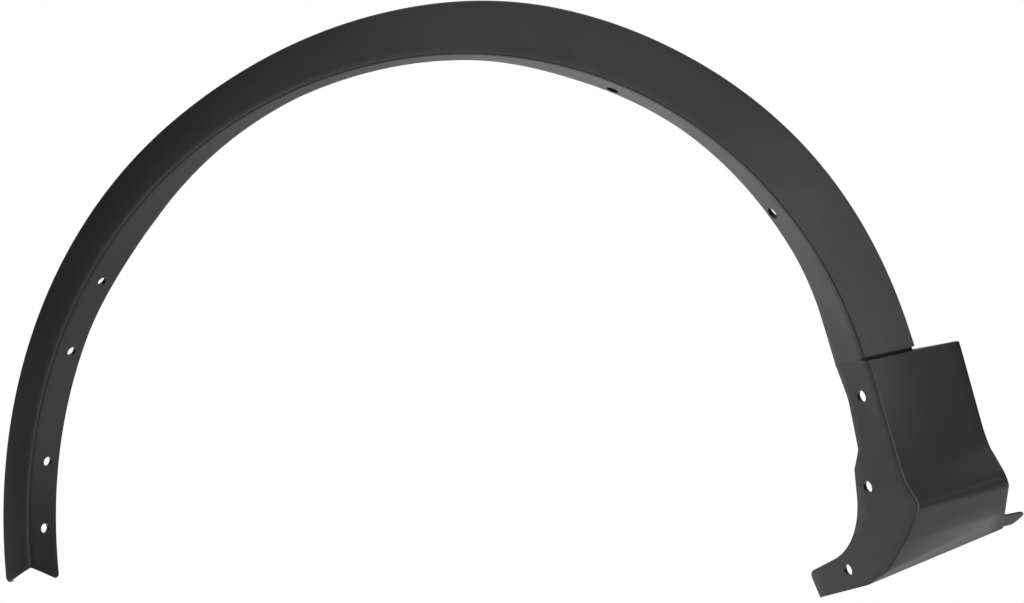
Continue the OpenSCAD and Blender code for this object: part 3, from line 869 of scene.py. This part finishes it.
class ARCH_OT_moulding(bpy.types.Operator):
    """Make the moulding: the swept face and flange, the panel, the foot and the nine screw holes"""

    bl_idname = "arch_trim.moulding"
    bl_label = "Moulding"

    def execute(self, context):
        holes = context.scene.arch_back
        arch = Arch(context.scene.arch_sizes, holes)
        rings = np.array(arch.rings())
        count, n = rings.shape[:2]
        half = n // 2
        loop = list(range(half)) + list(range(n - 1, half - 1, -1))
        faces, kinds = [], []
        for k in range(count - 1):
            for j in range(n):
                a, b = k * n + loop[j], k * n + loop[(j + 1) % n]
                faces.append((a, a + n, b + n, b))
                kinds.append(0 if j < half - EDGE_POINTS or j == n - 1 else 1)
        for j in range(half - 1):
            last = (count - 1) * n + j
            faces += [(j, j + 1, j + 1 + half, j + half), (last, last + half, last + half + 1, last + 1)]
            kinds += [0, 0]
        low, high = (np.array(v) for v in CAD_BOX)
        verts = np.clip(arch.home(rings.reshape(-1, 3)), low, high)
        moulding = new_object("moulding", verts, faces, [finish(GRAINED), finish(SMOOTH)], kinds)
        run = holes.collar_h + holes.lap
        rods = rod_tree()
        collars = self.rods(arch, rods, 2 * holes.collar_w, run, (arch.rim * MM - run) / 2)
        bores = self.rods(arch, rods, 0, 2 * arch.rim * MM, 0)
        for operation, tool in (("UNION", collars), ("DIFFERENCE", bores)):
            step = moulding.modifiers.new(operation, "BOOLEAN")
            step.operation, step.solver, step.object = operation, "EXACT", tool
        settle(moulding)
        for tool in (collars, bores):
            bpy.data.objects.remove(tool)
        self.mark(moulding, verts, arch.painted_light_and_shade())
        soften(moulding)
        put_on(moulding)
        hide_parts(NODE)
        return {"FINISHED"}

    def rods(self, arch, tree, wider, depth, shift):
        """Round rods on the screw holes, wider than their bores and shifted to the back by so much."""
        places, axes, bores = zip(*arch.holes())
        spots = arch.home(places) + shift * np.array(axes)
        tool = points_mesh("rods", spots, axis=np.array(axes), bore=np.array(bores) + wider)
        add_nodes(tool, tree, {"Depth": depth, "Sides": ROD_SIDES})
        return settle(tool)

    def mark(self, piece, places, painted_light_and_shade):
        """Stores how much painted light and painted shade each point has, from the nearest point of the
        lofted rings.
        """
        tree = KDTree(len(places))
        for k, place in enumerate(places):
            tree.insert(place, k)
        tree.balance()
        nearest = [tree.find(v.co)[1] for v in piece.data.vertices]
        for name, values in painted_light_and_shade.items():
            store(piece, name, values[nearest])


class ARCH_OT_back(bpy.types.Operator):
    """Make what stands on the back: clip towers, locating pins, corner gussets, nose webs and the tab"""

    bl_idname = "arch_trim.back"
    bl_label = "Back"

    def execute(self, context):
        sizes = context.scene.arch_back
        arch = Arch(context.scene.arch_sizes, sizes)
        pin = {"Radius": sizes.pin_d / 2, "Length": sizes.pin_l, "Sides": PIN_SIDES}
        self.on_face(arch, "clip_towers", TOWERS, tower_tree(), self.tower(sizes))
        self.on_face(arch, "locating_pins", PINS, pin_tree(), pin)
        ribs = rib_tree()
        self.plates(arch, "corner_gussets", self.gussets(arch), ribs, sizes.rib_t)
        self.plates(arch, "nose_webs", self.webs(arch), ribs, sizes.rib_t)
        self.plates(arch, "joining_tab", [self.tab(arch)], ribs, sizes.tab_t)
        return {"FINISHED"}

    def on_face(self, arch, name, angles, tree, values):
        """Seats half way across the back of the face, which start inside the wall."""
        frames = [arch.frame(a) for a in angles]
        depth = arch.wall - arch.face_bow - arch.back.lap / MM
        places = [f[0] + arch.face_w(a) / 2 * f[1] + depth * f[3] for a, f in zip(angles, frames)]
        axes, runs = (np.array([f[k] for f in frames]) for k in (3, 2))
        piece = points_mesh(name, arch.home(places), axis=axes, run=runs)
        self.complete(piece, tree, values)

    def plates(self, arch, name, outlines, tree, thickness):
        verts, faces = [], []
        for outline in outlines:
            faces.append(tuple(range(len(verts), len(verts) + len(outline))))
            verts += outline
        piece = new_object(name, arch.home(verts), faces, [])
        self.complete(piece, tree, {"Thickness": thickness})

    def complete(self, piece, tree, values):
        add_nodes(piece, tree, values)
        settle(piece)
        soften(piece)
        put_on(piece)

    def tower(self, sizes):
        """Size and middle of a tower's body, of the room for a clip's head and the slot for its neck."""
        long, wide, wall = sizes.tower_l, sizes.tower_w, sizes.tower_t
        high, head = sizes.tower_h + sizes.lap, sizes.head_h
        return {
            "Body": (long, wide, high),
            "Body at": (0, 0, high / 2),
            "Room": (long, wide - 2 * wall, head),
            "Room at": (wall, 0, high - wall - head / 2),
            "Slot": (long, sizes.slot_w, 3 * wall),
            "Slot at": (SLOT_START * wall, 0, high),
        }

    def gussets(self, arch):
        lap, wall = arch.back.lap / MM, arch.wall
        reach = arch.back.gusset / MM + wall
        out = []
        for a in GUSSETS:
            at, e, _, b, _, _ = arch.frame(a)
            lean = reach * tan(arch.draft(a))
            corners = [
                (lap, lap),
                (wall - arch.face_bow - lap / 2, reach),
                (wall + GUSSET_TIP, reach),
                (reach, wall + GUSSET_TIP - lean),
                (reach, wall - lap - lean),
            ]
            out.append([at + x * b + y * e for x, y in corners])
        return out

    def webs(self, arch):
        inset = arch.wall - arch.back.lap / MM
        out = []
        first, last = (k * arch.fine for k in WEB_SPAN)
        for u in WEBS:
            line = []
            for k in range(first, last + 1, 2):
                p, q = arch.wheel[k], arch.rear[k]
                start = arch.wheel_u(p)
                line.append(lerp(p, q, (u - start) / (arch.rear_u(q) - start)))
            inner = []
            for k, spot in enumerate(line):
                t = unit(line[min(k + 1, len(line) - 1)] - line[max(k - 1, 0)])
                inner.append(spot + inset * np.array([-t[1], t[0]]))
            out.append([arch.on_panel(u, w, v) for w, v in inner])
        return out

    def tab(self, arch):
        """Outline of the tab that slides behind the next sill trim, half way through its thickness."""
        low = arch.rear[-1]
        rise = unit(arch.rear[-1 - 3 * arch.fine] - low)
        slope = rise[0] * IN + rise[1] * arch.up
        start, tip = arch.panel_len - TAB_LAP, arch.panel_len + arch.tab_l
        depth = -TAB_IN - arch.back.tab_t / MM / 2
        inward = unit(np.cross(arch.along, slope))
        corners = [(start, TAB_LOW), *((tip - back, high) for back, high in TAB_END), (start, TAB_HIGH)]
        origin = arch.on_panel(0, *low)
        return [origin + x * arch.along + y * slope + depth * inward for x, y in corners]


class ARCH_OT_stage(bpy.types.Operator):
    """Make the pale floor, the soft light and the camera"""

    bl_idname = "arch_trim.stage"
    bl_label = "Stage"

    def execute(self, context):
        look = context.scene.arch_stage
        self.floor(look)
        self.light(context.scene, look)
        self.camera(context.scene, look)
        context.scene.view_settings.view_transform = "Standard"
        return {"FINISHED"}

    def floor(self, look):
        """A pale floor that throws light up in soft pools, and is plain white to the camera."""
        turns = [2 * math.pi * k / FLOOR_SIDES for k in range(FLOOR_SIDES)]
        verts = [(look.floor_r * math.cos(t), look.floor_r * math.sin(t), look.floor_z) for t in turns]
        material = bpy.data.materials.new("White painted floor")
        tree, place = started(material, "Object")
        pools = []
        for x, y, reach, strength in POOLS:
            ends = {0: place, 1: (x, y, look.floor_z)}
            far = add(tree, "ShaderNodeVectorMath", ends, operation="DISTANCE")["Value"]
            square = add(tree, "ShaderNodeMath", {0: far, 1: 2.0}, operation="POWER")[0]
            pools.append((square, -1 / reach**2, math.log(strength)))
        paint = {
            "Base Color": (*look.floor, 1),
            "Roughness": 0.8,
            "Emission Color": WHITE,
            "Emission Strength": self.glow(tree, pools),
        }
        lit = add(tree, "ShaderNodeBsdfPrincipled", paint)
        surface = self.white_to_camera(tree, "ShaderNodeEmission", lit, look)
        add(tree, "ShaderNodeOutputMaterial", {"Surface": surface})
        new_object("floor", verts, [tuple(range(FLOOR_SIDES))], [material])

    def light(self, scene, look):
        """A white surround: soft light from the named directions, and plain white behind the part."""
        world = bpy.data.worlds.new("Soft surround")
        tree, way = started(world, "Generated")
        lobes = []
        for axis, tight, strength in LIGHTS:
            ends = {0: way, 1: Vector(axis).normalized()}
            aim = add(tree, "ShaderNodeVectorMath", ends, operation="DOT_PRODUCT")["Value"]
            lobes.append((aim, tight, math.log(strength) - tight))
        soft = add(tree, "ShaderNodeBackground", {"Color": WHITE, "Strength": self.glow(tree, lobes)})
        surface = self.white_to_camera(tree, "ShaderNodeBackground", soft, look)
        add(tree, "ShaderNodeOutputWorld", {"Surface": surface})
        scene.world = world

    def glow(self, tree, terms):
        """Sum of exp(value * scale + offset) over the terms."""
        summed = 0.0
        for value, scale, offset in terms:
            power = add(tree, "ShaderNodeMath", {0: value, 1: scale, 2: offset}, operation="MULTIPLY_ADD")
            lobe = add(tree, "ShaderNodeMath", {0: power[0]}, operation="EXPONENT")[0]
            summed = add(tree, "ShaderNodeMath", {0: summed, 1: lobe}, operation="ADD")[0]
        return summed

    def white_to_camera(self, tree, kind, soft, look):
        """Plain white for what the camera sees, and the soft light for everything else."""
        plain = add(tree, kind, {"Color": WHITE, "Strength": look.white})[0]
        seen = add(tree, "ShaderNodeLightPath")["Is Camera Ray"]
        return add(tree, "ShaderNodeMixShader", {0: seen, 1: soft[0], 2: plain})[0]

    def camera(self, scene, look):
        data = bpy.data.cameras.new("camera")
        data.sensor_width = 36
        data.lens = look.lens
        data.clip_end = 100
        camera = bpy.data.objects.new("camera", data)
        camera.location = look.camera
        camera.rotation_euler = (math.pi / 2, 0, 0)
        scene.collection.objects.link(camera)
        scene.camera = camera


class ARCH_PT_panel(bpy.types.Panel):
    bl_label = "Arch Trim"
    bl_idname = "ARCH_PT_panel"
    bl_space_type = "VIEW_3D"
    bl_region_type = "UI"
    bl_category = "Arch Trim"

    def draw(self, context):
        scene = context.scene
        for group in (scene.arch_sizes, scene.arch_back, scene.arch_finish, scene.arch_stage):
            box = self.layout.box()
            for key, prop in group.bl_rna.properties.items():
                if prop.type in {"FLOAT", "INT"}:
                    box.prop(group, key)
        for operator in OPERATORS:
            self.layout.operator(operator.bl_idname)


GROUPS = {
    "arch_sizes": ArchSizes,
    "arch_back": BackSizes,
    "arch_finish": FinishLook,
    "arch_stage": StageLook,
}
OPERATORS = (ARCH_OT_moulding, ARCH_OT_back, ARCH_OT_stage)


def register():
    for cls in (*GROUPS.values(), *OPERATORS, ARCH_PT_panel):
        bpy.utils.register_class(cls)
    for name, cls in GROUPS.items():
        setattr(bpy.types.Scene, name, PointerProperty(type=cls))


def unregister():
    for name in GROUPS:
        delattr(bpy.types.Scene, name)
    for cls in reversed((*GROUPS.values(), *OPERATORS, ARCH_PT_panel)):
        bpy.utils.unregister_class(cls)


def main():
    register()
    bpy.ops.arch_trim.moulding()
    bpy.ops.arch_trim.back()
    bpy.ops.arch_trim.stage()


if __name__ == "__main__":
    main()
